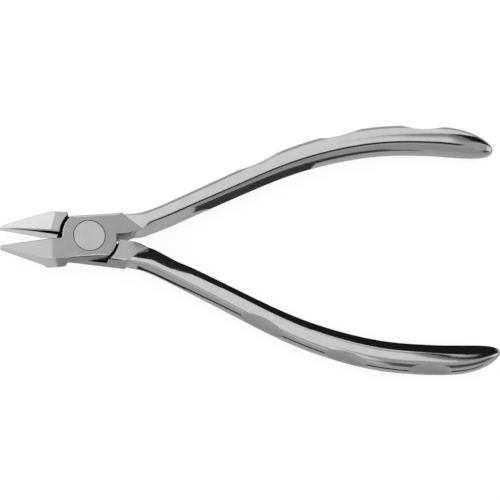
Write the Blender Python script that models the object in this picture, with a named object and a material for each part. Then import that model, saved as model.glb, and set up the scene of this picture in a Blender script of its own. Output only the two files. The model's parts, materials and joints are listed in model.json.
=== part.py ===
"""Sprue nippers: two forged steel halves that cross in a riveted lap joint.

Each half is drawn as it lies when the jaws are shut: pivot axis on its own Z, jaws
towards -X, handle towards +X. The two halves are then opened about the pivot. One half
has its lap plate above the other's, and the rivet holds both. The world's origin is on
the pivot axis, on the joint's under face.
"""
import math

import bmesh
import bpy

MM = 0.001

# Joint
REST_HALF_ANGLE = 5.5       # degrees that each half is opened from shut
HALF_THICKNESS = 3.95       # joint faces lie at plus and minus this height
SIDE = 5.7                  # the joint's flat sides lie at plus and minus this
LAP_GAP = 0.3               # between the two lap plates
UPPER_PLATE_FRONT_RADIUS = 7.0  # shoulder arcs round the pivot
LOWER_PLATE_FRONT_RADIUS = 7.2
JAW_RECESS_RADIUS = 7.5
PLATE_REAR_RADIUS = 7.5
ROOT_RECESS_RADIUS = 7.95
PLATE_FRONT_Y = 5.45        # where the front arc starts, next to the plate's flat side
PLATE_FRONT_END = 176.0     # degrees round from +X, where it meets the throat's fillet
PLATE_REAR_Y = -2.65        # where the rear arc ends and a straight edge runs to the notch
NOTCH_X = 7.2               # corner between the plate and the handle's root
THROAT_RADIUS = 0.35
EDGE_SETBACK = 0.1          # of the cutting edges from the closing plane
ROOT_SETBACK = 0.28         # of the handle roots from the closing plane
UPPER_RIDGE = [(14.3, 0.75), (9.0, SIDE)]       # where the flats end on each handle's root
LOWER_RIDGE = [(16.9, 1.2), (13.3, 3.0), (10.4, SIDE)]

# Jaws
TIP_X = -22.9
TIP_WIDTH = 0.65
TIP_RADIUS = 0.25
JAW_CORNER = (-11.1, -5.45)     # where the jaw's slanting side meets its rear side
JAW_CORNER_RADIUS = 3.2
JAW_REAR = (-6.1, -5.68)
JAW_CUT = [(-6.2, -SIDE - 0.1), (-6.4, -9.0)]   # the jaw's cut rear corner, in the lap pocket
JAW_RECESS_END = 222.0          # degrees round from +X, where the recess meets that cut
TOP_TAPER_X = -9.8          # the top facet slopes down from here to the tip
TOP_TIP_Z = 0.6
BOTTOM_TAPER_X = -15.5
BOTTOM_TIP_Z = -1.1

# Handles: centre line of the closed half, drawn through these places
CENTRE_LINE = [(9.0, 3.0), (12.5, 2.95), (16.0, 3.45), (24.0, 6.15), (40.0, 12.25), (56.0, 17.9),
               (68.0, 20.6), (80.0, 21.85), (92.0, 21.35), (104.0, 19.3), (110.6, 17.0)]
ROOT_WIDTH = 5.2
NECK_WIDTH = 5.9
PALM_WIDTH = 7.8
NECK_X = (10.0, 18.0)       # the root widens to the neck between these
PALM_X = (27.0, 87.0)       # the neck widens to the palm between these
ROOT_DROP = 0.15            # of the handle's top below the joint's face, at its root
HEIGHT_X = (9.0, 35.0)      # it grows to its full height between these
PALM_HALF_HEIGHT = 4.25
OVAL_POWER = 2.3            # 2 would be a plain ellipse
END_TAPER_X = 98.0          # the handle narrows from here to its end
GROOVE_X = (47.0, 69.0, 91.0)
GROOVE_RADIUS = 13.0
GROOVE_DEPTH = 0.45         # at mid height
GROOVE_LEAN = 18.5          # degrees that the wheel's axis leans inward at its top

# Rivet
HEAD_RADIUS = 4.05
HEAD_HEIGHT = 1.4
SHANK_RADIUS = 3.0
TAIL_RADIUS = 3.7
TAIL_HEIGHT = 1.0
RUNNING_GAP = 0.3

STATIONS = 44               # sections along a handle
SECTION_POINTS = 20
ARC_STEP = 7.5              # degrees between points on an arc
PAST = 1.0                  # how far a cutting shape reaches beyond what it cuts


def remove_everything():
    for item in list(bpy.data.objects):
        bpy.data.objects.remove(item, do_unlink=True)


def steel(name, colour, roughness):
    material = bpy.data.materials.new(name)
    material.use_nodes = True
    shader = material.node_tree.nodes["Principled BSDF"]
    shader.inputs["Base Color"].default_value = (*colour, 1.0)
    shader.inputs["Metallic"].default_value = 1.0
    shader.inputs["Roughness"].default_value = roughness
    return material


def eased(x, span):
    """0 before a span of x, 1 after it, and smooth in between."""
    value = min(max((x - span[0]) / (span[1] - span[0]), 0.0), 1.0)
    return value * value * (3.0 - 2.0 * value)


def arc(radius, start, end, centre=(0.0, 0.0)):
    """Points on a circle from one angle to another, in degrees."""
    count = max(2, round(abs(end - start) / ARC_STEP))
    angles = [math.radians(start + (end - start) * i / count) for i in range(count + 1)]
    return [(centre[0] + radius * math.cos(a), centre[1] + radius * math.sin(a)) for a in angles]


def on_circle_at_y(radius, y):
    """Angle in degrees, on the +X side, where a circle round the pivot reaches y."""
    return math.degrees(math.asin(y / radius))


def fillet(before, corner, after, radius):
    """Points of the arc that rounds one corner of an outline."""
    def unit(a, b):
        length = math.dist(a, b)
        return ((b[0] - a[0]) / length, (b[1] - a[1]) / length)
    u = unit(corner, before)
    v = unit(corner, after)
    half = math.acos(max(-1.0, min(1.0, u[0] * v[0] + u[1] * v[1]))) / 2.0
    bisector = unit((0.0, 0.0), (u[0] + v[0], u[1] + v[1]))
    reach = radius / math.sin(half)
    centre = (corner[0] + bisector[0] * reach, corner[1] + bisector[1] * reach)
    run = radius / math.tan(half)
    first = (corner[0] + u[0] * run, corner[1] + u[1] * run)
    last = (corner[0] + v[0] * run, corner[1] + v[1] * run)
    start = math.degrees(math.atan2(first[1] - centre[1], first[0] - centre[0]))
    turn = math.degrees(math.atan2(last[1] - centre[1], last[0] - centre[0])) - start
    turn = (turn + 180.0) % 360.0 - 180.0
    return arc(radius, start, start + turn, centre)


def block_outline(side):
    """Jaw, lap plate and handle root of one half, seen from above, anticlockwise."""
    front_radius = UPPER_PLATE_FRONT_RADIUS if side > 0 else LOWER_PLATE_FRONT_RADIUS
    tip_in = (TIP_X, -EDGE_SETBACK)
    tip_out = (TIP_X, -EDGE_SETBACK - TIP_WIDTH)
    throat = (-front_radius, -EDGE_SETBACK)
    rear_low = on_circle_at_y(PLATE_REAR_RADIUS, -SIDE)
    rear_high = on_circle_at_y(PLATE_REAR_RADIUS, PLATE_REAR_Y)
    front = arc(front_radius, 180.0 - on_circle_at_y(front_radius, PLATE_FRONT_Y), PLATE_FRONT_END)
    outline = fillet(tip_in, tip_out, JAW_CORNER, TIP_RADIUS)
    outline += fillet(tip_out, JAW_CORNER, JAW_REAR, JAW_CORNER_RADIUS)
    outline += [JAW_REAR, (JAW_REAR[0] + PAST, -SIDE)]
    outline += arc(PLATE_REAR_RADIUS, rear_low, rear_high)
    outline += [(NOTCH_X, ROOT_SETBACK)]
    outline += UPPER_RIDGE if side > 0 else LOWER_RIDGE
    outline += [(front[0][0] + SIDE - PLATE_FRONT_Y, SIDE)] + front
    outline += fillet(front[-1], throat, tip_in, THROAT_RADIUS)
    outline += fillet(throat, tip_in, tip_out, TIP_RADIUS)
    return outline


def lap_outline():
    """What the other half's lap plate sweeps: two half discs and the jaw's cut corner."""
    front = arc(JAW_RECESS_RADIUS, 90.0, JAW_RECESS_END)
    below = (0.0, JAW_CUT[-1][1])
    rear = arc(ROOT_RECESS_RADIUS, -90.0, 90.0)
    return front + JAW_CUT + [below] + rear


def cubic_through(points):
    """Natural cubic spline y(x) through the points, as a function giving y and slope."""
    xs = [p[0] for p in points]
    ys = [p[1] for p in points]
    count = len(points)
    step = [xs[i + 1] - xs[i] for i in range(count - 1)]
    diagonal = [1.0] * count
    upper = [0.0] * count
    bend = [0.0] * count
    for i in range(1, count - 1):
        pull = 6.0 * ((ys[i + 1] - ys[i]) / step[i] - (ys[i] - ys[i - 1]) / step[i - 1])
        diagonal[i] = 2.0 * (step[i - 1] + step[i]) - step[i - 1] * upper[i - 1]
        upper[i] = step[i] / diagonal[i]
        bend[i] = (pull - step[i - 1] * bend[i - 1]) / diagonal[i]
    for i in range(count - 2, 0, -1):
        bend[i] -= upper[i] * bend[i + 1]

    def at(x):
        i = max(k for k in range(count - 1) if k == 0 or xs[k] <= x)
        h = step[i]
        a = (xs[i + 1] - x) / h
        b = (x - xs[i]) / h
        y = a * ys[i] + b * ys[i + 1] + ((a ** 3 - a) * bend[i] + (b ** 3 - b) * bend[i + 1]) * h * h / 6.0
        slope = (ys[i + 1] - ys[i]) / h
        slope += ((3.0 * b * b - 1.0) * bend[i + 1] - (3.0 * a * a - 1.0) * bend[i]) * h / 6.0
        return y, slope
    return at


def end_taper(x):
    """1 along the handle, falling as a quarter ellipse to 0 at its end."""
    reach = (x - END_TAPER_X) / (CENTRE_LINE[-1][0] - END_TAPER_X)
    return math.sqrt(max(0.0, 1.0 - max(0.0, reach) ** 2))


def handle_width(x):
    neck = ROOT_WIDTH + (NECK_WIDTH - ROOT_WIDTH) * eased(x, NECK_X)
    return (neck + (PALM_WIDTH - NECK_WIDTH) * eased(x, PALM_X)) * end_taper(x)


def handle_half_height(x):
    root = HALF_THICKNESS - ROOT_DROP
    return (root + (PALM_HALF_HEIGHT - root) * eased(x, HEIGHT_X)) * end_taper(x) ** 0.7


def handle_sections(side):
    """Oval sections square to the centre line, from inside the root to near the end."""
    centre_line = cubic_through(CENTRE_LINE)
    first = CENTRE_LINE[0][0]
    last = CENTRE_LINE[-1][0]
    sections = []
    for i in range(STATIONS):
        turn = (math.pi / 2.0) * i / STATIONS
        x = first + (last - first) * math.sin(turn)
        y, slope = centre_line(x)
        length = math.hypot(1.0, slope)
        across = (-slope / length, 1.0 / length)
        half_width = handle_width(x) / 2.0
        half_height = handle_half_height(x)
        ring = []
        for k in range(SECTION_POINTS):
            a = 2.0 * math.pi * (k + 0.5) / SECTION_POINTS
            c = math.cos(a)
            s = math.sin(a)
            v = half_width * math.copysign(abs(c) ** (2.0 / OVAL_POWER), c)
            z = half_height * math.copysign(abs(s) ** (2.0 / OVAL_POWER), s)
            ring.append((x + across[0] * v, side * (y + across[1] * v), z))
        sections.append(ring)
    return sections


def mesh_object(name, points, faces):
    mesh = bpy.data.meshes.new(name)
    mesh.from_pydata([tuple(c * MM for c in p) for p in points], [], faces)
    shape = bmesh.new()
    shape.from_mesh(mesh)
    bmesh.ops.recalc_face_normals(shape, faces=shape.faces)
    shape.to_mesh(mesh)
    shape.free()
    item = bpy.data.objects.new(name, mesh)
    bpy.context.scene.collection.objects.link(item)
    return item


def prism(name, outline, low, high, place=lambda u, v, level: (u, v, level)):
    """An outline carried from one level to another; place turns (u, v, level) into a point."""
    count = len(outline)
    points = [place(u, v, level) for level in (low, high) for u, v in outline]
    faces = [list(range(count)), list(range(count, 2 * count))]
    faces += [(i, (i + 1) % count, count + (i + 1) % count, count + i) for i in range(count)]
    return mesh_object(name, points, faces)


def wedge(name, profile):
    """A profile in the XZ plane, carried across Y past both sides of a jaw."""
    return prism(name, profile, -SIDE - PAST, SIDE + PAST, lambda x, z, y: (x, y, z))


def turned(name, profile, segments=48):
    """A closed profile of radius and height, spun round the Z axis."""
    points = [(0.0, 0.0, profile[0][1])]
    for radius, z in profile:
        for k in range(segments):
            a = 2.0 * math.pi * k / segments
            points.append((radius * math.cos(a), radius * math.sin(a), z))
    points.append((0.0, 0.0, profile[-1][1]))
    faces = [(0, 1 + k, 1 + (k + 1) % segments) for k in range(segments)]
    for ring in range(len(profile) - 1):
        base = 1 + ring * segments
        for k in range(segments):
            j = (k + 1) % segments
            faces.append((base + k, base + j, base + segments + j, base + segments + k))
    base = 1 + (len(profile) - 1) * segments
    faces += [(len(points) - 1, base + (k + 1) % segments, base + k) for k in range(segments)]
    return mesh_object(name, points, faces)


def loft(name, sections, end):
    """Rings of points joined in order, flat at the start and closed to a point."""
    count = len(sections[0])
    points = [p for ring in sections for p in ring] + [end]
    faces = [list(range(count))]
    for i in range(len(sections) - 1):
        for k in range(count):
            j = (k + 1) % count
            faces.append((i * count + k, i * count + j, (i + 1) * count + j, (i + 1) * count + k))
    last = (len(sections) - 1) * count
    faces += [(last + k, last + (k + 1) % count, len(points) - 1) for k in range(count)]
    return mesh_object(name, points, faces)


def combine(target, tool, operation):
    """Boolean with a tool shape, which is then only a guide."""
    tool.hide_render = True
    tool.display_type = "WIRE"
    tool.parent = target
    modifier = target.modifiers.new(tool.name, "BOOLEAN")
    modifier.operation = operation
    modifier.solver = "EXACT"
    modifier.object = tool


def mirrored(outline, side):
    return [(x, side * y) for x, y in outline]


def groove(name, side, x):
    """A grinding wheel at x; its axis leans, so it bites deeper above than below."""
    y, slope = cubic_through(CENTRE_LINE)(x)
    length = math.hypot(1.0, slope)
    lean = math.radians(GROOVE_LEAN)
    along = (1.0 / length, slope / length)
    outward = (-slope / length, 1.0 / length)
    reach = handle_width(x) / 2.0 - GROOVE_DEPTH

    def place(u, v, level):
        out = reach + v * math.cos(lean) - level * math.sin(lean)
        up = v * math.sin(lean) + level * math.cos(lean)
        return (x + along[0] * u + outward[0] * out, side * (y + along[1] * u + outward[1] * out), up)

    wheel = arc(GROOVE_RADIUS, 0.0, 360.0, (0.0, GROOVE_RADIUS))[:-1]
    high = 2.0 * PALM_HALF_HEIGHT
    return prism(name, wheel, -high, high, place)


def half(name, side, material):
    """One forged half. Side +1 has its lap plate on top and its handle towards +Y."""
    body = prism(name, mirrored(block_outline(side), side), -HALF_THICKNESS, HALF_THICKNESS)
    end = (CENTRE_LINE[-1][0], side * CENTRE_LINE[-1][1], 0.0)
    combine(body, loft(name + "_handle", handle_sections(side), end), "UNION")

    past = HALF_THICKNESS + PAST
    lap_face = side * LAP_GAP / 2.0
    lap = prism(name + "_lap", mirrored(lap_outline(), side), lap_face, -side * past)
    combine(body, lap, "DIFFERENCE")

    start = TIP_X - PAST
    top_run = (HALF_THICKNESS - TOP_TIP_Z) / (TOP_TAPER_X - TIP_X)
    top = [(TOP_TAPER_X, HALF_THICKNESS), (start, TOP_TIP_Z - top_run * PAST),
           (start, past), (TOP_TAPER_X, past)]
    combine(body, wedge(name + "_top_taper", top), "DIFFERENCE")
    bottom_run = (HALF_THICKNESS + BOTTOM_TIP_Z) / (BOTTOM_TAPER_X - TIP_X)
    bottom = [(BOTTOM_TAPER_X, -HALF_THICKNESS), (start, BOTTOM_TIP_Z + bottom_run * PAST),
              (start, -past), (BOTTOM_TAPER_X, -past)]
    combine(body, wedge(name + "_bottom_taper", bottom), "DIFFERENCE")

    if side > 0:
        seat = HALF_THICKNESS - HEAD_HEIGHT - RUNNING_GAP
        bore = [(SHANK_RADIUS + RUNNING_GAP, -past), (SHANK_RADIUS + RUNNING_GAP, seat),
                (HEAD_RADIUS + RUNNING_GAP, seat), (HEAD_RADIUS + RUNNING_GAP, past)]
    else:
        sink = TAIL_HEIGHT + RUNNING_GAP
        bore = [(TAIL_RADIUS + RUNNING_GAP, -past), (TAIL_RADIUS + RUNNING_GAP, -HALF_THICKNESS),
                (SHANK_RADIUS + RUNNING_GAP, -HALF_THICKNESS + sink), (SHANK_RADIUS + RUNNING_GAP, past)]
    combine(body, turned(name + "_bore", bore), "DIFFERENCE")

    for number, x in enumerate(GROOVE_X, 1):
        combine(body, groove(f"{name}_groove_{number}", side, x), "DIFFERENCE")

    body.data.materials.append(material)
    body.location = (0.0, 0.0, HALF_THICKNESS * MM)
    body.rotation_euler = (0.0, 0.0, math.radians(side * REST_HALF_ANGLE))
    return body


def rivet(material):
    """Flush head in the upper plate, shank through both, tail set into the lower one."""
    profile = [(TAIL_RADIUS, -HALF_THICKNESS), (SHANK_RADIUS, -HALF_THICKNESS + TAIL_HEIGHT),
               (SHANK_RADIUS, HALF_THICKNESS - HEAD_HEIGHT), (HEAD_RADIUS, HALF_THICKNESS - HEAD_HEIGHT),
               (HEAD_RADIUS, HALF_THICKNESS)]
    pin = turned("pivot_rivet", profile)
    pin.data.shade_smooth()
    pin.data.set_sharp_from_angle(angle=math.radians(30.0))
    pin.data.materials.append(material)
    pin.location = (0.0, 0.0, HALF_THICKNESS * MM)
    return pin


def main():
    remove_everything()
    half("upper_lap_half", 1, steel("upper_half_steel", (0.66, 0.66, 0.67), 0.28))
    half("lower_lap_half", -1, steel("lower_half_steel", (0.64, 0.64, 0.65), 0.26))
    rivet(steel("rivet_steel", (0.74, 0.74, 0.75), 0.32))


main()
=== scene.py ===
"""Sprue nippers, as seen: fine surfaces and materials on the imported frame."""
import json
import math

import bmesh
import bpy
from mathutils import Matrix, Vector

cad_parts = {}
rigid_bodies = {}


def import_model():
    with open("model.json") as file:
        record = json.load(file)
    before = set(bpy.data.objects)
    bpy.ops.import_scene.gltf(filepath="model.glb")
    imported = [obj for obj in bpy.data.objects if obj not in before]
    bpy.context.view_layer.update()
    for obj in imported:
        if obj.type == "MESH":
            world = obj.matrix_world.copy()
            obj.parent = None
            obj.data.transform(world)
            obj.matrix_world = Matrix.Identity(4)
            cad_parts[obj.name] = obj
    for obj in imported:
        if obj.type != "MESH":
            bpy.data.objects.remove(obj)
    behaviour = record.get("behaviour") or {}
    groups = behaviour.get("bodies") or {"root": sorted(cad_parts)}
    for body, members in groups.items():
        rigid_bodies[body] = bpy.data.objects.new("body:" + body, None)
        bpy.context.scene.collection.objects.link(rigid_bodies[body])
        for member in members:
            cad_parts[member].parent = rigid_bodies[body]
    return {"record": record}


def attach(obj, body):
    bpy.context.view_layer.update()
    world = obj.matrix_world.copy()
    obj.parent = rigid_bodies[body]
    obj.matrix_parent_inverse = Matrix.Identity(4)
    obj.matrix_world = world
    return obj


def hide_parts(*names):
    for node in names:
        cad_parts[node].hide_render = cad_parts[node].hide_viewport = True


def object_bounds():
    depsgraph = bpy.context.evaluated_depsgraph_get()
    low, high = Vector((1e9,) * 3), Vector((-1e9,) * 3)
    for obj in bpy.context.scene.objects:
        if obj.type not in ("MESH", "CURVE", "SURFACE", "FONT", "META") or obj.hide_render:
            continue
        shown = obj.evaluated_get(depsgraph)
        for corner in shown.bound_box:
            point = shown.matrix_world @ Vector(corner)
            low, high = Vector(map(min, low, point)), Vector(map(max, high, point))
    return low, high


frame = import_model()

cad_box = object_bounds()

MM = 0.001
JOINT = frame["record"]["behaviour"]["joints"][0]
PIVOT = Vector(JOINT["pos_m"])
UPPER_BODY = JOINT["parent"]
LOWER_BODY = JOINT["child"]

# Millimetres and degrees, in each half's own frame: jaws shut, pivot axis on Z at mid height
REST_HALF_ANGLE = 5.5
HALF_THICKNESS = PIVOT.z / MM
SIDE = 5.7                  # from the pivot to the joint's straight sides
LAP_GAP = 0.12
PLATE_FRONT_RADIUS = 7.0
THROAT_SETBACK = {1: 0.15, -1: 0.03}    # from the plate's front to the start of the cutting edge
JAW_RECESS_RADIUS = {1: 7.14, -1: 7.62}     # the lower jaw's, on the under side, fits closely
PLATE_REAR_RADIUS = 7.3
PLATE_REAR_END_Y = -2.6     # where the round rear of the plate runs straight on to the notch
ROOT_RECESS_RADIUS = 7.95
EDGE_SETBACK = 0.1          # of the cutting edge and of the handle's root, from the middle line
ROOT_SETBACK = 0.07
POCKET_REACH = 9.0          # from the pivot to the pocket's open end, well past the joint's side
POCKET_ARC_END = {1: 222.0, -1: 219.0}      # in degrees, where the pocket leaves its round wall
POCKET_HOOK = {                             # the way from there out through the joint's side
    1: [(-6.15, -SIDE - 0.1), (-6.4, -POCKET_REACH)],
    -1: [(-6.12, -5.15), (-6.32, -5.5), (-6.6, -5.8), (-6.7, -POCKET_REACH)],
}
RIDGES = {                                  # where the ground flats end on each handle's root
    1: ((13.9, 1.1), (11.5, 3.4), (9.0, 5.7)),
    -1: ((15.8, 1.5), (12.9, 3.0), (10.6, 5.6)),
}
NOTCH_X = 7.15              # the corner behind the plate, where the notch starts

TIP_X = -22.85
TIP_WIDTH = 0.65
JAW_CORNER_RADIUS = 3.2
JAW_BEND = (-11.2, -5.3)    # the widest place of a jaw, before its corner is rounded
JAW_BACK = (-6.1, -5.66)
FOLDS = {1: (-10.3, -0.06, 0.55), -1: (-9.45, 0.12, 0.0)}   # where the top starts down, lean, softness
TOP_TIP_Z = 0.6
BOTTOM_FOLD_X = -11.0
BOTTOM_TIP_Z = 1.6
HONED_WIDTH = {1: 0.12, -1: 0.3}    # of the chamfer honed along the cutting edge
HOLLOW_START_X = -21.6
HOLLOW_LENGTH = 15.2
HOLLOW_DEPTH = 0.2
BAND_ROWS = 6               # rows of faces in the part of the hollow painted black as shade
THROAT_X = -7.9             # nearer the pivot than this, the whole hollow is painted black as shade

CENTRE_LINE = [(9.0, 3.0), (12.5, 3.0), (16.0, 3.5), (24.0, 6.15), (40.0, 12.25), (56.0, 17.9),
               (68.0, 20.6), (80.0, 21.85), (92.0, 21.35), (104.0, 19.3), (110.55, 17.0)]
HANDLE_START_X = CENTRE_LINE[0][0]
HANDLE_END_X = CENTRE_LINE[-1][0]
ROOT_WIDTH = 5.3
NECK_WIDTH = 5.85
PALM_WIDTH = 7.65
PALM_HALF_HEIGHT = 4.2
END_TAPER_X = 98.0
CROWN_RADIUS = 12.0
CREASE = {1: 0.44, -1: 0.26}    # where the top meets the inner facet, in half widths from the middle
FACET_RADIUS = 9.0
FACET_ANGLE = 30.0
OVAL_POWER = 2.4
SOFTENING = 70.0            # higher makes the edges between the crown, facet and oval crisper
ROOT_SINK = {1: 0.0, -1: 0.12}  # how much lower each handle's top is made where it leaves the block
LEANS = {1: (7.0, 4.0), -1: (12.0, 14.0)}   # of each handle's top, at its root and its end
GROOVE_X = (47.9, 69.9, 91.9)
GROOVE_RADIUS = 25.0
GROOVE_DEPTH = 0.45         # at mid height; the cut leans, so it is deeper at the top
GROOVE_LEAN = 18.5
GROOVE_HALF_HEIGHT = 9.0    # of the cutting wheel

GROUND, POLISHED, GROOVE, CUTTING, PAINTED_SHADE = range(5)    # finishes, in the order of a half's slots; the last is painted shade, a matt black where gaps and recesses are in shadow

HEAD_RADIUS = 4.04
HEAD_SEAT_RADIUS = 4.14
HEAD_THICKNESS = 1.4
SHANK_RADIUS = 3.0
SHANK_HOLE_RADIUS = 3.1
TAIL_RADIUS = 3.7
TAIL_SEAT_RADIUS = 3.79
RIVET_RIM = 0.05            # the bevel round the rivet and round its seats

PAST_CUT = 1.0              # how far a cutter goes past what it cuts
ROUND_STEPS = 4             # rings in a rounded edge
STATIONS = 230              # sections along a handle
AROUND = 96                 # points round a handle's section
RIVET_SEGMENTS = 128
GROOVE_SEGMENTS = 240
SHARP_ANGLE = math.radians(31.0)    # edges with more than this between their faces stay sharp


# ------------------------------------------------------------------ curves and outlines

def smoothstep(value):
    """An even rise from 0 to 1, as the value goes from 0 to 1."""
    value = min(max(value, 0.0), 1.0)
    return value * value * (3.0 - 2.0 * value)


def arc(radius, start, end, centre=(0.0, 0.0), step=3.0):
    """Points on an arc between two angles, about one step apart, all in degrees."""
    count = max(2, round(abs(end - start) / step))
    angles = [math.radians(start + (end - start) * i / count) for i in range(count + 1)]
    return [(centre[0] + radius * math.cos(a), centre[1] + radius * math.sin(a)) for a in angles]


def angle_at_y(radius, y):
    """The angle, in degrees, at which a circle round the pivot reaches y."""
    return math.degrees(math.asin(y / radius))


def fillet(before, corner, after, radius, step=10.0):
    """The arc that rounds a corner between two straight lines."""
    def unit(a, b):
        length = math.dist(a, b)
        return ((b[0] - a[0]) / length, (b[1] - a[1]) / length)
    u = unit(corner, before)
    v = unit(corner, after)
    half = math.acos(max(-1.0, min(1.0, u[0] * v[0] + u[1] * v[1]))) / 2.0
    middle = unit((0.0, 0.0), (u[0] + v[0], u[1] + v[1]))
    centre = tuple(corner[k] + middle[k] * radius / math.sin(half) for k in range(2))
    first = tuple(corner[k] + u[k] * radius / math.tan(half) for k in range(2))
    last = tuple(corner[k] + v[k] * radius / math.tan(half) for k in range(2))
    start = math.degrees(math.atan2(first[1] - centre[1], first[0] - centre[0]))
    turn = math.degrees(math.atan2(last[1] - centre[1], last[0] - centre[0])) - start
    return arc(radius, start, start + (turn + 180.0) % 360.0 - 180.0, centre, step)


def cubic_through(points):
    """Natural cubic spline y(x) through the points, as a function giving y and slope."""
    xs = [p[0] for p in points]
    ys = [p[1] for p in points]
    count = len(points)
    step = [xs[i + 1] - xs[i] for i in range(count - 1)]
    upper = [0.0] * count
    bend = [0.0] * count
    for i in range(1, count - 1):
        pull = 6.0 * ((ys[i + 1] - ys[i]) / step[i] - (ys[i] - ys[i - 1]) / step[i - 1])
        diagonal = 2.0 * (step[i - 1] + step[i]) - step[i - 1] * upper[i - 1]
        upper[i] = step[i] / diagonal
        bend[i] = (pull - step[i - 1] * bend[i - 1]) / diagonal
    for i in range(count - 2, 0, -1):
        bend[i] -= upper[i] * bend[i + 1]

    def at(x):
        i = max(k for k in range(count - 1) if k == 0 or xs[k] <= x)
        h = step[i]
        a = (xs[i + 1] - x) / h
        b = (x - xs[i]) / h
        y = a * ys[i] + b * ys[i + 1] + ((a ** 3 - a) * bend[i] + (b ** 3 - b) * bend[i + 1]) * h * h / 6.0
        slope = (ys[i + 1] - ys[i]) / h
        slope += ((3.0 * b * b - 1.0) * bend[i + 1] - (3.0 * a * a - 1.0) * bend[i]) * h / 6.0
        return y, slope
    return at


centre_line = cubic_through(CENTRE_LINE)


def end_taper(x):
    """1 along the handle, falling to 0 in an ellipse at its round end."""
    reach = (x - END_TAPER_X) / (HANDLE_END_X - END_TAPER_X)
    return math.sqrt(max(0.0, 1.0 - max(0.0, reach) ** 2))


def handle_width(x):
    """The full width, which grows from the joint to the neck and from the neck to the palm."""
    neck = ROOT_WIDTH + (NECK_WIDTH - ROOT_WIDTH) * smoothstep((x - 10.0) / 8.0)
    return (neck + (PALM_WIDTH - NECK_WIDTH) * smoothstep((x - 27.0) / 60.0)) * end_taper(x)


def handle_half_height(x):
    """Half the height, a little less than the joint's at the root and more in the palm."""
    root = HALF_THICKNESS - 0.03
    grown = root + (PALM_HALF_HEIGHT - root) * smoothstep((x - 12.0) / 24.0)
    return grown * end_taper(x) ** 0.7


# ------------------------------------------------------------------ solids

def new_object(name, points, faces):
    """A mesh object in the scene, its faces all turned outward."""
    mesh = bpy.data.meshes.new(name)
    mesh.from_pydata(points, [], faces)
    shape = bmesh.new()
    shape.from_mesh(mesh)
    bmesh.ops.recalc_face_normals(shape, faces=shape.faces)
    shape.to_mesh(mesh)
    shape.free()
    item = bpy.data.objects.new(name, mesh)
    bpy.context.scene.collection.objects.link(item)
    return item


def stacked(name, rings, point=None):
    """A closed skin over rings of equal count, capped flat or brought to a point."""
    count = len(rings[0])
    points = [p for ring in rings for p in ring]
    faces = [list(range(count))]
    for i in range(len(rings) - 1):
        for k in range(count):
            j = (k + 1) % count
            faces.append((i * count + k, i * count + j, (i + 1) * count + j, (i + 1) * count + k))
    last = (len(rings) - 1) * count
    if point is None:
        faces.append(list(range(last, last + count)))
    else:
        points.append(point)
        faces += [(last + k, last + (k + 1) % count, len(points) - 1) for k in range(count)]
    return new_object(name, points, faces)


def boolean(target, tool, operation):
    """Joins or cuts the target's mesh with a tool, and throws the tool away."""
    modifier = target.modifiers.new("cut", "BOOLEAN")
    modifier.operation = operation
    modifier.solver = "EXACT"
    modifier.object = tool
    graph = bpy.context.evaluated_depsgraph_get()
    result = bpy.data.meshes.new_from_object(target.evaluated_get(graph))
    target.modifiers.clear()
    old = target.data
    target.data = result
    bpy.data.meshes.remove(old)
    bpy.data.objects.remove(tool, do_unlink=True)


def inward_normals(outline, turn):
    """Unit-offset directions into an outline, longer at corners so that edges stay parallel."""
    count = len(outline)
    result = []
    for i in range(count):
        a = Vector(outline[i - 1][:2])
        b = Vector(outline[i][:2])
        c = Vector(outline[(i + 1) % count][:2])
        u = (b - a).normalized()
        v = (c - b).normalized()
        n1 = Vector((-u.y, u.x)) * turn
        n2 = Vector((-v.y, v.x)) * turn
        middle = (n1 + n2).normalized()
        result.append(middle / max(0.5, middle.dot(n1)))
    return result


def rim_ring(outline, inward, level, top, bottom, side):
    """One ring of a rounded prism: levels up to ROUND_STEPS round its bottom rim, the rest its top."""
    upper = level > ROUND_STEPS
    part = (level - ROUND_STEPS - 1 if upper else ROUND_STEPS - level) / ROUND_STEPS
    a = math.radians(90.0 * part)
    ring = []
    for (x, y, size, chamfered, flare, finish), n in zip(outline, inward):
        out = size * (part if chamfered else 1.0 - math.cos(a))
        drop = size * (1.0 - part if chamfered else 1.0 - math.sin(a))
        if not upper:
            out -= flare
        px = x + n.x * out
        py = y + n.y * out
        edge = top(px, side * py) if upper else -bottom(px, side * py)
        ring.append((px, py, edge - drop if upper else edge + drop))
    return ring


def rounded_prism(name, outline, top, bottom, side, folds):
    """An outline of (x, y, edge size, chamfered, flare, finish) raised between two surfaces.

    Its rims are rounded; flare is how much further out the bottom stands than the top.
    folds lists (is_top, place, values) at which an end face is split, so that it can bend."""
    outline = [(x, side * y, *rest) for x, y, *rest in outline]
    inward = inward_normals(outline, side)
    levels = range(2 * (ROUND_STEPS + 1))
    item = stacked(name, [rim_ring(outline, inward, level, top, bottom, side) for level in levels])
    count = len(outline)
    for face in item.data.polygons:
        if len(face.vertices) == 4:
            columns = {v % count for v in face.vertices}
            column = count - 1 if columns == {0, count - 1} else min(columns)
            wall = min(face.vertices) // count == ROUND_STEPS
            face.material_index = outline[column][-1] if wall else POLISHED
    split_caps(item, outline, side, folds)
    return item


def fold_place(side):
    """A function that is the same all along any line parallel to the fold in a jaw's top."""
    return lambda x, y: x + FOLDS[side][1] * (y - JAW_BEND[1])


def split_caps(item, outline, side, folds):
    """Cuts the two end faces along the folds, which run from outline point to outline point."""
    shape = bmesh.new()
    shape.from_mesh(item.data)
    shape.verts.ensure_lookup_table()
    count = len(outline)
    for is_top, place, values in folds:
        base = count * (2 * ROUND_STEPS + 1) if is_top else 0
        for value in values:
            ends = [i for i, p in enumerate(outline) if abs(place(p[0], side * p[1]) - value) < 1e-6]
            if len(ends) != 2:
                raise ValueError(f"fold {value} meets the outline {len(ends)} times")
            bmesh.ops.connect_verts(shape, verts=[shape.verts[base + i] for i in ends])
    shape.to_mesh(item.data)
    shape.free()


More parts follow.
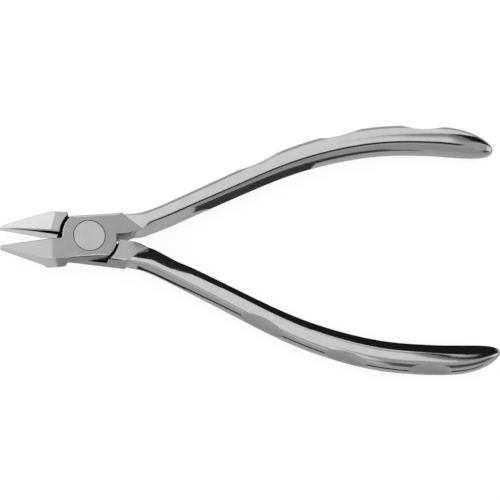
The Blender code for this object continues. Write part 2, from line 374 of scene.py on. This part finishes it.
def with_folds(outline, place, values, reach):
    """The outline with a point added wherever it crosses a fold, at x less than reach."""
    for value in values:
        result = []
        for i, p in enumerate(outline):
            q = outline[(i + 1) % len(outline)]
            result.append(p)
            a = place(p[0], p[1]) - value
            b = place(q[0], q[1]) - value
            if a * b < 0.0 and max(p[0], q[0]) < reach:
                t = a / (a - b)
                result.append((p[0] + (q[0] - p[0]) * t, p[1] + (q[1] - p[1]) * t, *p[2:]))
        outline = result
    return outline


def block_outline(side):
    """Jaw, lap plate and handle root, anticlockwise, each point with its edge's size."""
    tip_in = (TIP_X, -EDGE_SETBACK)
    tip_out = (TIP_X, -EDGE_SETBACK - TIP_WIDTH)
    plate = PLATE_FRONT_RADIUS
    throat = (-plate - THROAT_SETBACK[side], -EDGE_SETBACK)
    notch = (NOTCH_X, ROOT_SETBACK)
    rear_low = angle_at_y(PLATE_REAR_RADIUS, -SIDE)
    rear_high = angle_at_y(PLATE_REAR_RADIUS, PLATE_REAR_END_Y)
    front = arc(plate, 180.0 - angle_at_y(plate, 5.45), 176.5)

    def edge(points, size, chamfered=False, flare=0.0, finish=GROUND):
        return [(x, y, size, chamfered, flare, finish) for x, y in points]

    outline = edge(fillet(tip_in, tip_out, JAW_BEND, 0.3), 0.1)
    run = [(tip_out[0] + (JAW_BEND[0] - tip_out[0]) * t, tip_out[1] + (JAW_BEND[1] - tip_out[1]) * t)
           for t in (0.1, 0.3, 0.5, 0.68)]
    outline += edge(run, 0.12)
    bend = fillet(tip_out, JAW_BEND, JAW_BACK, JAW_CORNER_RADIUS, 4.0)
    for i, point in enumerate(bend):
        outline += edge([point], 0.15, flare=0.42 * i / (len(bend) - 1))
    outline += edge([(-8.0, -5.5)], 0.15, flare=0.3)
    outline += edge([JAW_BACK], 0.15)
    outline += edge([(-4.8, -SIDE + 0.02), (0.0, -SIDE), (3.6, -SIDE)], 0.5)
    # painted shade: the plate's rear arc, the upper half's front wall and the throat's fillet take the matt
    # black
    outline += edge(arc(PLATE_REAR_RADIUS, rear_low, rear_high), 0.13, finish=PAINTED_SHADE)
    outline += edge(fillet((7.03, PLATE_REAR_END_Y), notch, (14.0, notch[1]), 0.3), 0.13)
    outline += edge([(8.3, notch[1]), (9.4, notch[1]), (10.5, notch[1])], 0.12)
    if side < 0:
        outline += edge([(12.0, 0.15), (13.5, 0.48), (14.9, 1.02)], 0.12)
    outline += edge(RIDGES[side], 0.06)
    outline += edge([(RIDGES[side][-1][0] - 0.8, SIDE), (4.0, SIDE), (0.0, SIDE), (-3.2, SIDE)], 0.6)
    wall = PAINTED_SHADE if side > 0 else GROUND
    outline += edge([(front[0][0] + 0.18, SIDE - 0.03)], 0.2, finish=wall)
    outline += edge(front, 0.14, finish=wall)
    outline += edge(fillet(front[-1], throat, tip_in, 0.4), 0.14, finish=PAINTED_SHADE)
    honed = HONED_WIDTH[side]
    outline += edge([(-8.3, -EDGE_SETBACK)], 0.7 * honed, True)
    outline += edge([(-8.8, -EDGE_SETBACK), (-17.0, -EDGE_SETBACK)], honed, True)
    outline += edge([(-20.0, -EDGE_SETBACK)], 0.75 * honed, True)
    outline += edge(fillet(throat, tip_in, tip_out, 0.22), 0.1)
    return outline


def jaw_top(side):
    """Height of the upper face: flat over the joint, sloping down to the tip."""
    start, _, softness = FOLDS[side]
    place = fold_place(side)
    slope = (HALF_THICKNESS - TOP_TIP_Z) / (start - place(TIP_X, -0.4))

    def height(x, y):
        past = start - place(x, y)
        if softness > 0.0:
            t = (past + softness) / (2.0 * softness)
            eased = past if t > 1.0 else softness * max(t, 0.0) ** 2
        else:
            eased = max(0.0, past)
        return HALF_THICKNESS - slope * eased
    return height


def jaw_bottom(x, y):
    """Depth of the under face, which slopes up to the tip less than the top slopes down."""
    slope = (HALF_THICKNESS - BOTTOM_TIP_Z) / (BOTTOM_FOLD_X - TIP_X)
    return HALF_THICKNESS - slope * max(0.0, BOTTOM_FOLD_X - x)


def bottom_place(x, y):
    """As fold_place, for the fold in the under face, which runs straight across."""
    return x


def joint_block(side):
    """The solid of a jaw, lap plate and handle root, before it is cut."""
    start, _, soft = FOLDS[side]
    place = fold_place(side)
    folds_top = [start + soft * t for t in (-1.0, -0.6, -0.2, 0.2, 0.6, 1.0)] if soft else [start]
    jaw_end = -5.0
    outline = with_folds(block_outline(side), place, folds_top, jaw_end)
    outline = with_folds(outline, bottom_place, [BOTTOM_FOLD_X], jaw_end)
    folds = [(True, place, folds_top), (False, bottom_place, [BOTTOM_FOLD_X])]
    return rounded_prism("block", outline, jaw_top(side), jaw_bottom, side, folds)


def circle_reach(direction, centre, radius):
    """Distance from the origin to a circle around it, in a unit direction."""
    along = direction[0] * centre[0] + direction[1] * centre[1]
    return along + math.sqrt(along * along - centre[0] ** 2 - centre[1] ** 2 + radius * radius)


def handle_section(x, side, root, boxy):
    """Points (outward, up) of a section: a low crown, a facet on the inner side, a rounded outside.

    root and boxy are 1 where the section leaves the flat joint and fall to 0 along the handle."""
    w = handle_width(x) / 2.0
    h = handle_half_height(x) - ROOT_SINK[side] * boxy
    crown = CROWN_RADIUS + 60.0 * root ** 2
    power = OVAL_POWER + 2.5 * boxy
    crease = CREASE[side] + (0.92 - CREASE[side]) * root
    angle = math.radians(FACET_ANGLE + 50.0 * root ** 0.6)
    crown_centre = (0.12 * w, h - crown)
    cx = -crease * w
    cz = crown_centre[1] + math.sqrt(crown ** 2 - (cx - crown_centre[0]) ** 2)
    facet_centre = (cx + FACET_RADIUS * math.sin(angle), cz - FACET_RADIUS * math.cos(angle))
    points = []
    for k in range(AROUND):
        a = 2.0 * math.pi * (k + 0.5) / AROUND
        c = math.cos(a)
        s = math.sin(a)
        up = abs(s)
        reaches = [(abs(c / w) ** power + abs(s / (h * 1.02)) ** power) ** (-1.0 / power)]
        reaches.append(circle_reach((c, up), crown_centre, crown))
        reaches.append(circle_reach((c, up), facet_centre, FACET_RADIUS))
        reach = sum(r ** -SOFTENING for r in reaches if r > 0.0) ** (-1.0 / SOFTENING)
        points.append((reach * c, reach * s))
    return points


def handle_lean(x, side):
    """How far the handle's top leans to the inner side, in degrees."""
    root, end = LEANS[side]
    return root * (1.0 - smoothstep((x - 14.0) / 24.0)) + end * smoothstep((x - 86.0) / 18.0)


def handle(side):
    """A handle's solid: its first sections lie along the ridge, and later ones turn square to it."""
    rings = []
    ridge = Vector(RIDGES[side][-1]) - Vector(RIDGES[side][0])
    ridge_angle = math.atan2(ridge.y, ridge.x)
    middle = (Vector(RIDGES[side][-1]) + Vector(RIDGES[side][0])) / 2.0
    first = middle.x - 1.2      # inside the joint's block, so that the two solids overlap
    for i in range(STATIONS):
        turn = (math.pi / 2.0) * i / STATIONS
        x = first + (HANDLE_END_X - first) * math.sin(turn) ** 1.15
        y, slope = centre_line(x)
        square = math.atan2(1.0, -slope)
        skew = (ridge_angle - square) * (1.0 - smoothstep((x - middle.x) / 13.0))
        across = Vector((math.cos(square + skew), math.sin(square + skew)))
        root = 1.0 - smoothstep((x - middle.x) / 16.0)
        boxy = 1.0 - smoothstep((x - middle.x) / 5.0)
        lean = math.radians(handle_lean(x, side))
        hinge = 0.6 * handle_width(x) / 2.0
        high = handle_half_height(x)
        ring = []
        for out, up in handle_section(x, side, root, boxy):
            if up > 0.0:
                out, up = (hinge + (out - hinge) * math.cos(lean),
                           up + min(0.0, out - hinge) * math.sin(lean) * up / high)
            v = out / math.cos(skew)
            ring.append((x + across.x * v, side * (y + across.y * v), up))
        rings.append(ring)
    item = stacked("handle", rings, point=(HANDLE_END_X, side * CENTRE_LINE[-1][1], 0.0))
    set_finish(item, POLISHED)
    return item


def set_finish(item, finish):
    """Gives every face of an object one finish, which the faces it cuts take on."""
    for face in item.data.polygons:
        face.material_index = finish


def lap_cutter(side):
    """The pocket for the other half's plate, its rim flared to chamfer the edges it leaves."""
    past_face = 0.1
    recess = arc(JAW_RECESS_RADIUS[side], 90.0, POCKET_ARC_END[side])
    outline = recess + POCKET_HOOK[side] + [(0.0, -POCKET_REACH)] + arc(ROOT_RECESS_RADIUS, -90.0, 90.0)
    outline = [(x, side * y) for x, y in outline]
    inward = inward_normals(outline, side)
    flares = [0.3 if x < -4.0 and side < 0 else 0.13 for x, y in outline]
    floor = [(x, y, side * LAP_GAP / 2.0) for x, y in outline]
    wall_end = [(x, y, -side * (HALF_THICKNESS - flare)) for (x, y), flare in zip(outline, flares)]
    out = [n * (flare + past_face) for n, flare in zip(inward, flares)]
    above = -side * (HALF_THICKNESS + past_face)
    mouth = [(x - away.x, y - away.y, above) for (x, y), away in zip(outline, out)]
    item = stacked("lap", [floor, wall_end, mouth])
    count = len(outline)
    hook = range(len(recess) - 1, len(recess) + len(POCKET_HOOK[side]))
    # painted shade: the pocket's walls and floor take the matt black, save the polished chamfers and the
    # upper half's ground hook
    for face in item.data.polygons:
        on_chamfer = min(face.vertices) >= count
        on_hook = len(face.vertices) == 4 and min(v % count for v in face.vertices) in hook
        behind = all(item.data.vertices[v].co.x > 0.0 for v in face.vertices)
        if on_chamfer and (behind or side > 0):
            face.material_index = POLISHED
        else:
            face.material_index = GROUND if side > 0 and on_hook else PAINTED_SHADE
    return item


def shadow_band(x):
    """How far below the jaw's upper edge the inner face is painted black as shade, widening to the throat.
    """
    return 0.2 + 3.3 * smoothstep((x + 22.5) / 15.0) ** 1.3


def hollow_section(x, side):
    """A closed section of the hollow: the ground arc from low to high, and two points out in the mouth."""
    below_rows = 8
    up = jaw_top(side)(x, 0.0) - 0.25
    down = jaw_bottom(x, 0.0) - 0.4
    middle = (up - down) / 2.0
    reach = (up + down) / 2.0
    depth = 0.02 + HOLLOW_DEPTH * smoothstep((x - HOLLOW_START_X) / 9.0)
    radius = (reach * reach + depth * depth) / (2.0 * depth)
    half = math.asin(min(1.0, reach / radius))
    band = min(shadow_band(x), 1.9 * reach)
    split = math.asin(max(-1.0, min(1.0, (reach - band) / radius)))
    angles = [-half + (split + half) * k / below_rows for k in range(below_rows)]
    angles += [split + (half - split) * k / BAND_ROWS for k in range(BAND_ROWS + 1)]
    section = []
    for a in angles:
        y = -EDGE_SETBACK - depth + radius * (1.0 - math.cos(a))
        section.append((x, side * y, middle + radius * math.sin(a)))
    outside = side * 2.0
    return section + [(x, outside, middle + reach), (x, outside, middle - reach)]


def hollow_cutter(side):
    """A shallow hollow ground along the jaw's inner face, painted black as shade under the upper edge and
    at the throat.
    """
    steps = 30
    rings = [hollow_section(HOLLOW_START_X + HOLLOW_LENGTH * i / steps, side) for i in range(steps + 1)]
    item = stacked("hollow", rings)
    count = len(rings[0])
    band_end = count - 3
    for face in item.data.polygons:
        row = min(v % count for v in face.vertices)
        black = len(face.vertices) == 4 and band_end - BAND_ROWS <= row < band_end
        throat = max(item.data.vertices[v].co.x for v in face.vertices) > THROAT_X
        face.material_index = PAINTED_SHADE if black or throat else CUTTING
    return item


def turned(name, profile):
    """A solid turned about the pivot axis from (radius, height) points."""
    turns = [2.0 * math.pi * k / RIVET_SEGMENTS for k in range(RIVET_SEGMENTS)]
    return stacked(name, [[(radius * math.cos(a), radius * math.sin(a), z) for a in turns]
                          for radius, z in profile])


def seat_cutter(side):
    """The hole through a plate, with the rivet head's seat above or its tail's seat below."""
    past = HALF_THICKNESS + PAST_CUT
    rim = HALF_THICKNESS - RIVET_RIM
    if side > 0:
        seat = HALF_THICKNESS - HEAD_THICKNESS - 0.05
        profile = [(SHANK_HOLE_RADIUS, -past), (SHANK_HOLE_RADIUS, seat), (HEAD_SEAT_RADIUS, seat),
                   (HEAD_SEAT_RADIUS, rim), (HEAD_SEAT_RADIUS + RIVET_RIM + PAST_CUT, past)]
    else:
        profile = [(TAIL_SEAT_RADIUS + RIVET_RIM + PAST_CUT, -past), (TAIL_SEAT_RADIUS, -rim),
                   (TAIL_SEAT_RADIUS, -HALF_THICKNESS + 0.3),
                   (SHANK_HOLE_RADIUS, -HALF_THICKNESS + 1.1), (SHANK_HOLE_RADIUS, past)]
    item = turned("seat", profile)
    # painted shade: the bore and the seats take the matt black
    set_finish(item, PAINTED_SHADE)
    return item


def groove_cutter(x, side):
    """A wheel whose axis leans inward at the top, so that it bites deeper above than below."""
    y, slope = centre_line(x)
    along = Vector((1.0, slope, 0.0)).normalized()
    outward = Vector((-along.y, along.x, 0.0))
    lean = math.radians(GROOVE_LEAN)
    axis = Vector((0.0, 0.0, 1.0)) * math.cos(lean) - outward * math.sin(lean)
    across = along.cross(axis)
    if across.dot(outward) < 0.0:
        across = -across
    face = Vector((x, y, 0.0)) + outward * (handle_width(x) / 2.0 - GROOVE_DEPTH)
    centre = face + across * GROOVE_RADIUS
    turns = [2.0 * math.pi * k / GROOVE_SEGMENTS for k in range(GROOVE_SEGMENTS)]
    rings = []
    for level in (-GROOVE_HALF_HEIGHT, GROOVE_HALF_HEIGHT):
        ring = []
        for a in turns:
            p = centre + (along * math.cos(a) + across * math.sin(a)) * GROOVE_RADIUS + axis * level
            ring.append((p.x, side * p.y, p.z))
        rings.append(ring)
    item = stacked("groove", rings)
    set_finish(item, GROOVE)
    return item


# ------------------------------------------------------------------ halves

def painted_notch_shade(x, y, z):
    """How much painted shade darkens the steel in the notch behind the plate: most at the top, fading
    rearward.
    """
    if 6.9 < x < 10.6 and -0.2 < y < 0.4 and z < HALF_THICKNESS - 0.08:
        depth = 0.2 + 0.5 * smoothstep((z + HALF_THICKNESS) / (2.0 * HALF_THICKNESS))
        return depth * (1.0 - smoothstep((x - 8.2) / 2.3))
    return 0.0


def grain_place(x, y, z):
    """Where a point is for the grain, which runs along the jaw and then along the curved handle."""
    if x <= HANDLE_START_X:
        return (x, y, z)
    middle, slope = centre_line(min(x, HANDLE_END_X))
    stretch = math.hypot(1.0, slope)
    return (x * stretch, (y - middle) / stretch, z)


def write_attributes(mesh, side):
    """Stores what the materials read, worked out in the half's own millimetres."""
    shade = mesh.attributes.new("shade", "FLOAT", "POINT")
    grain = mesh.attributes.new("grain", "FLOAT_VECTOR", "POINT")
    for i, vertex in enumerate(mesh.vertices):
        x, y, z = vertex.co
        shade.data[i].value = painted_notch_shade(x, side * y, z)
        grain.data[i].vector = grain_place(x, side * y, z)


def mark_folds(mesh):
    """Sharpens the edges of flats and between finishes, and the folds where a jaw's taper starts."""
    shape = bmesh.new()
    shape.from_mesh(mesh)
    for edge in shape.edges:
        if len(edge.link_faces) == 2 and edge.calc_length() > 0.3 * MM:
            one, other = edge.link_faces
            near_level = min(abs(one.normal.z), abs(other.normal.z)) > 0.94
            changes = one.material_index != other.material_index
            flat = any(abs(face.normal.z) > 0.9999 and face.calc_area() > 0.5 * MM ** 2
                       for face in (one, other))
            limit = math.radians(2.0 if flat else 8.0)
            if (near_level or changes or flat) and edge.calc_face_angle(0.0) > limit:
                edge.smooth = False
    shape.to_mesh(mesh)
    shape.free()


def make_half(name, side, body, node, materials):
    """One forging: the joint's block and its handle as one solid, cut to shape and put in place."""
    item = joint_block(side)
    item.name = name
    for material in materials:
        item.data.materials.append(material)
    boolean(item, handle(side), "UNION")
    for cutter in (lap_cutter, seat_cutter, hollow_cutter):
        boolean(item, cutter(side), "DIFFERENCE")
    for x in GROOVE_X:
        boolean(item, groove_cutter(x, side), "DIFFERENCE")
    mesh = item.data
    write_attributes(mesh, side)
    place = Matrix.Translation(PIVOT) @ Matrix.Rotation(math.radians(side * REST_HALF_ANGLE), 4, "Z")
    mesh.transform(place @ Matrix.Scale(MM, 4))
    mesh.shade_smooth()
    mesh.set_sharp_from_angle(angle=SHARP_ANGLE)
    mark_folds(mesh)
    weighted = item.modifiers.new("normals", "WEIGHTED_NORMAL")
    weighted.keep_sharp = True
    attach(item, body)
    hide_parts(node)


def make_rivet(material):
    """The rivet: a flush head in the upper plate, a thinner shank and a flush tail in the lower one."""
    rim = HALF_THICKNESS - RIVET_RIM
    head = HALF_THICKNESS - HEAD_THICKNESS
    profile = [(TAIL_RADIUS - RIVET_RIM, -HALF_THICKNESS), (TAIL_RADIUS, -rim),
               (TAIL_RADIUS, -HALF_THICKNESS + 0.25), (SHANK_RADIUS, -HALF_THICKNESS + 1.0),
               (SHANK_RADIUS, head), (HEAD_RADIUS, head),
               (HEAD_RADIUS, rim), (HEAD_RADIUS - RIVET_RIM, HALF_THICKNESS)]
    item = turned("rivet", profile)
    item.data.transform(Matrix.Translation(PIVOT) @ Matrix.Scale(MM, 4))
    item.data.shade_smooth()
    item.data.set_sharp_from_angle(angle=SHARP_ANGLE)
    item.data.materials.append(material)
    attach(item, UPPER_BODY)
    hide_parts("pivot_rivet")


# ------------------------------------------------------------------ materials

def add_node(material, kind, settings=None):
    """A new shader node with the given inputs set."""
    node = material.node_tree.nodes.new("ShaderNode" + kind)
    for name, value in (settings or {}).items():
        node.inputs[name].default_value = value
    return node


def attribute(material, name):
    """A node that reads one of the mesh's own attributes."""
    node = add_node(material, "Attribute")
    node.attribute_name = name
    return node


def darkened(material, colour_output):
    """The colour, taken towards black by the painted shade held in the mesh's shade attribute."""
    links = material.node_tree.links
    mix = add_node(material, "Mix")
    mix.data_type = "RGBA"
    mix.inputs["B"].default_value = (0.004, 0.004, 0.004, 1.0)
    links.new(attribute(material, "shade").outputs["Fac"], mix.inputs["Factor"])
    links.new(colour_output, mix.inputs["A"])
    return mix.outputs["Result"]


def steel(name, colour, roughness, spread, scratch, stretch, on_half=True, metallic=1.0):
    """Steel with fine lines in its bump and roughness, and faint clouds in its colour.

    spread is how far the roughness goes either way, and scratch is the bump's strength.
    stretch is how fine the lines are in each direction of the grain, per millimetre.
    A half's steel reads the mesh's grain and shade attributes; other steel takes its own place."""
    material = bpy.data.materials.new(name)
    material.use_nodes = True
    links = material.node_tree.links
    shader = material.node_tree.nodes["Principled BSDF"]
    shader.inputs["Metallic"].default_value = metallic
    shader.inputs["Specular IOR Level"].default_value = 0.5 * metallic
    if on_half:
        place = attribute(material, "grain").outputs["Vector"]
        per_mm = 1.0
    else:
        place = add_node(material, "TexCoord").outputs["Object"]
        per_mm = 1.0 / MM
    mapping = add_node(material, "Mapping", {"Scale": tuple(per_mm * s for s in stretch)})
    lines = add_node(material, "TexNoise", {"Scale": 6.0, "Detail": 5.0, "Roughness": 0.6})
    clouds = add_node(material, "TexNoise", {"Scale": 0.35 * per_mm, "Detail": 3.0})
    links.new(place, mapping.inputs["Vector"])
    links.new(mapping.outputs["Vector"], lines.inputs["Vector"])
    links.new(place, clouds.inputs["Vector"])

    tone = add_node(material, "MapRange", {"To Min": roughness - spread, "To Max": roughness + spread})
    links.new(lines.outputs["Fac"], tone.inputs["Value"])
    links.new(tone.outputs["Result"], shader.inputs["Roughness"])

    ramp = add_node(material, "ValToRGB")
    dull, clear = ramp.color_ramp.elements
    dull.position = 0.3
    dull.color = (*[c * 0.93 for c in colour], 1.0)
    clear.position = 0.7
    clear.color = (*colour, 1.0)
    links.new(clouds.outputs["Fac"], ramp.inputs["Fac"])
    seen = darkened(material, ramp.outputs["Color"]) if on_half else ramp.outputs["Color"]
    links.new(seen, shader.inputs["Base Color"])

    bump = add_node(material, "Bump", {"Strength": scratch, "Distance": 0.02 * MM})
    links.new(lines.outputs["Fac"], bump.inputs["Height"])
    links.new(bump.outputs["Normal"], shader.inputs["Normal"])
    return material


def make_materials(prefix, ground_tone):
    """A half's finishes, in the order of GROUND, POLISHED, GROOVE, CUTTING and PAINTED_SHADE, the last a
    painted shade.
    """
    ground = (ground_tone, ground_tone, ground_tone + 0.005)
    polished = (0.60, 0.60, 0.605)
    groove = (0.82, 0.82, 0.82)
    # painted shade: a matt black that stands in for the shadow in gaps, recesses and bores
    painted_shade_black = (0.006, 0.006, 0.006)
    return [
        steel(prefix + "_ground_flat", ground, 0.34, 0.06, 0.5, (5.0, 0.6, 5.0)),
        steel(prefix + "_polished", polished, 0.12, 0.04, 0.12, (0.25, 6.0, 6.0)),
        steel(prefix + "_groove", groove, 0.36, 0.05, 0.6, (6.0, 6.0, 0.4)),
        steel(prefix + "_cutting_face", ground, 0.3, 0.05, 0.4, (0.5, 6.0, 6.0)),
        steel(prefix + "_inside", painted_shade_black, 0.8, 0.05, 0.4, (3.0, 3.0, 3.0), metallic=0.0),
    ]


# ------------------------------------------------------------------ studio

PHOTO_SCALE = 0.26 * MM     # metres across one five-hundredth of the view, at the pivot
VIEW_AZIMUTH = -28.0        # in degrees, as are the next two
VIEW_ELEVATION = 71.4
VIEW_ROLL = -1.63
VIEW_DISTANCE = 0.936       # in metres
PIVOT_IN_VIEW = (-0.3245, 0.0205)   # of the view's width, from its middle, right and up
SENSOR = 36.0
STUDIO_CENTRE = (0.03, 0.0)         # in metres, the middle of the dome that the panels are parts of
FLOOR_SKIN = cad_box[0].z - 0.1 * MM    # the height of patches, just under the floor
WHITE = (1.0, 1.0, 1.0, 1.0)


def make_camera():
    """The photo's view, turned so that the pivot stands where the photo has it."""
    data = bpy.data.cameras.new("camera")
    camera = bpy.data.objects.new("camera", data)
    bpy.context.scene.collection.objects.link(camera)
    a = math.radians(VIEW_AZIMUTH)
    e = math.radians(VIEW_ELEVATION)
    back = Vector((math.sin(a) * math.cos(e), -math.cos(a) * math.cos(e), math.sin(e)))
    right = Vector((0.0, 0.0, 1.0)).cross(back).normalized()
    up = back.cross(right)
    lie = math.atan2(up.x, right.x)
    turn = math.radians(VIEW_ROLL) - lie
    side = right * math.cos(turn) - up * math.sin(turn)
    over = right * math.sin(turn) + up * math.cos(turn)
    width = 500.0 * PHOTO_SCALE
    offset = side * (PIVOT_IN_VIEW[0] * width) + over * (PIVOT_IN_VIEW[1] * width)
    camera.location = PIVOT - offset + back * VIEW_DISTANCE
    camera.rotation_mode = "QUATERNION"
    camera.rotation_quaternion = Matrix((side, over, back)).transposed().to_quaternion()
    data.sensor_width = SENSOR
    data.lens = SENSOR * VIEW_DISTANCE / width
    data.clip_start = 0.05
    data.clip_end = 20.0
    bpy.context.scene.camera = camera


def plain_material(name, colour, glow):
    """A matt grey that also glows white."""
    material = bpy.data.materials.new(name)
    material.use_nodes = True
    shader = material.node_tree.nodes["Principled BSDF"]
    shader.inputs["Base Color"].default_value = (colour, colour, colour, 1.0)
    shader.inputs["Roughness"].default_value = 1.0
    shader.inputs["Specular IOR Level"].default_value = 0.0
    shader.inputs["Emission Color"].default_value = WHITE
    shader.inputs["Emission Strength"].default_value = glow
    return material


def make_reflector(name, points, faces, glow):
    """Something that only shows in reflections."""
    item = new_object(name, points, faces)
    item.data.materials.append(plain_material(name, 0.0, glow))
    item.visible_camera = False
    item.visible_diffuse = False
    item.visible_shadow = False


def make_floor():
    """A white floor, and what the steel mirrors instead of it, which is darker."""
    size = 3.0
    below = cad_box[0].z
    corners = [(-size, -size), (size, -size), (size, size), (-size, size)]
    floor = new_object("floor", [(x, y, below) for x, y in corners], [(0, 1, 2, 3)])
    floor.data.materials.append(plain_material("floor_white", 0.15, 0.88))
    floor.visible_glossy = False
    make_reflector("floor_as_mirrored", [(x, y, below - 0.2 * MM) for x, y in corners], [(0, 1, 2, 3)], 0.5)


def make_panel(name, azimuths, angles, glow, distance=0.35):
    """Part of a dome round the tool, between two azimuths and two angles from overhead.

    It is there for the steel to mirror, and neither lights the floor nor blocks a view."""
    steps = 12
    points = []
    for i in range(steps + 1):
        off = math.radians(angles[0] + (angles[1] - angles[0]) * i / steps)
        for k in range(steps + 1):
            a = math.radians(azimuths[0] + (azimuths[1] - azimuths[0]) * k / steps)
            points.append((STUDIO_CENTRE[0] + distance * math.sin(off) * math.cos(a),
                           STUDIO_CENTRE[1] + distance * math.sin(off) * math.sin(a),
                           distance * math.cos(off)))
    row = steps + 1
    faces = [(i * row + k, i * row + k + 1, (i + 1) * row + k + 1, (i + 1) * row + k)
             for i in range(steps) for k in range(steps)]
    make_reflector(name, points, faces, glow)


def make_card(name, start, end, heights, glow):
    """An upright card in millimetres, from one place on the floor to another, seen only by mirrors."""
    a, b = [(x * MM, y * MM) for x, y in (start, end)]
    points = [(*a, FLOOR_SKIN), (*b, FLOOR_SKIN), (*b, heights[1] * MM), (*a, heights[0] * MM)]
    make_reflector(name, points, [(0, 1, 2, 3)], glow)


def make_patch(name, outline, glow):
    """A part of the floor, in millimetres, that mirrors see as lighter or darker."""
    points = [(x * MM, y * MM, FLOOR_SKIN) for x, y in outline]
    make_reflector(name, points, [tuple(range(len(outline)))], glow)


def make_ribbon(name, side, run, start, end, height, glow):
    """A level strip along a handle, its two edges so far outward of the centre line.

    start and end give the edges near the joint and further along."""
    steps = 24
    turn = Matrix.Rotation(math.radians(side * REST_HALF_ANGLE), 3, "Z")
    points = []
    for i in range(steps + 1):
        x = run[0] + (run[1] - run[0]) * i / steps
        y, slope = centre_line(x)
        length = math.hypot(1.0, slope)
        part = smoothstep((x - 18.0) / 32.0)
        for k in range(2):
            out = start[k] + (end[k] - start[k]) * part
            place = turn @ Vector((x - slope / length * out, side * (y + out / length), 0.0))
            points.append((place.x * MM, place.y * MM, height * MM + FLOOR_SKIN))
    faces = [(2 * i, 2 * i + 1, 2 * i + 3, 2 * i + 2) for i in range(steps)]
    make_reflector(name, points, faces, glow)


def make_cards():
    """Dark and light cards, patches and ribbons near the tool, which draw the lines on the steel."""
    make_card("inner_card_root", (12.0, -0.5), (60.0, -0.5), (14.0, 34.0), 0.015)
    make_card("inner_card_end", (60.0, -0.5), (122.0, -0.5), (34.0, 34.0), 0.015)
    make_card("inner_light", (12.0, 0.5), (34.0, 0.5), (14.0, 24.0), 0.6)
    make_card("inner_grey", (34.0, 0.5), (88.0, 0.5), (12.0, 9.0), 0.06)
    make_patch("inner_grey_floor", [(33.0, 0.5), (92.0, 0.5), (92.0, 14.0), (66.0, 14.0), (60.0, 22.0),
                                    (33.0, 13.0)], 0.05)
    make_card("inner_light_high", (34.0, 0.0), (88.0, 0.0), (24.0, 34.0), 0.42)
    make_card("inner_light_end", (88.0, 0.5), (122.0, 0.5), (34.0, 34.0), 0.42)
    make_card("front_card", (-6.0, -25.0), (8.0, -25.0), (30.0, 30.0), 0.06)
    make_ribbon("crease_strip", 1, (19.0, 109.0), (-3.0, -9.0), (-3.8, -12.0), 25.0, 0.03)
    make_ribbon("side_strip", -1, (14.0, 109.0), (3.5, 5.6), (8.0, 11.5), 0.0, 0.02)
    make_patch("inner_dark", [(13.0, -0.5), (13.0, -3.0), (40.0, -16.0), (85.0, -30.0), (115.0, -28.0),
                              (122.0, -0.5)], 0.012)
    make_patch("jaw_bright", [(-60.0, -40.0), (-7.5, -40.0), (-7.5, 2.0), (-60.0, 2.0)], 1.2)


def make_light():
    """An even white surround, with panels for the steel to mirror."""
    world = bpy.data.worlds.new("studio")
    bpy.context.scene.world = world
    world.use_nodes = True
    background = world.node_tree.nodes["Background"]
    background.inputs["Color"].default_value = WHITE
    background.inputs["Strength"].default_value = 1.0
    bpy.context.scene.view_settings.view_transform = "Standard"
    make_panel("back_flag", (16.0, 50.0), (36.0, 95.0), 0.012)
    make_panel("back_flag_edge", (12.0, 50.0), (27.0, 36.0), 0.3)
    make_panel("front_grey", (-80.0, 14.0), (26.0, 60.0), 0.5, 0.34)
    make_panel("front_flag", (-80.0, -20.0), (60.0, 95.0), 0.1, 0.34)
    make_panel("front_low", (-135.0, -80.0), (64.0, 84.0), 0.55, 0.34)
    make_panel("left_softbox", (118.0, 165.0), (14.0, 60.0), 2.2, 0.36)


make_half("upper_half_steelwork", 1, UPPER_BODY, "upper_lap_half",
          make_materials("upper", 0.33))
make_half("lower_half_steelwork", -1, LOWER_BODY, "lower_lap_half",
          make_materials("lower", 0.42))
make_rivet(steel("rivet_ground", (0.47, 0.47, 0.475), 0.38, 0.05, 0.4, (4.0, 4.0, 4.0), False))
make_camera()
make_floor()
make_light()
make_cards()
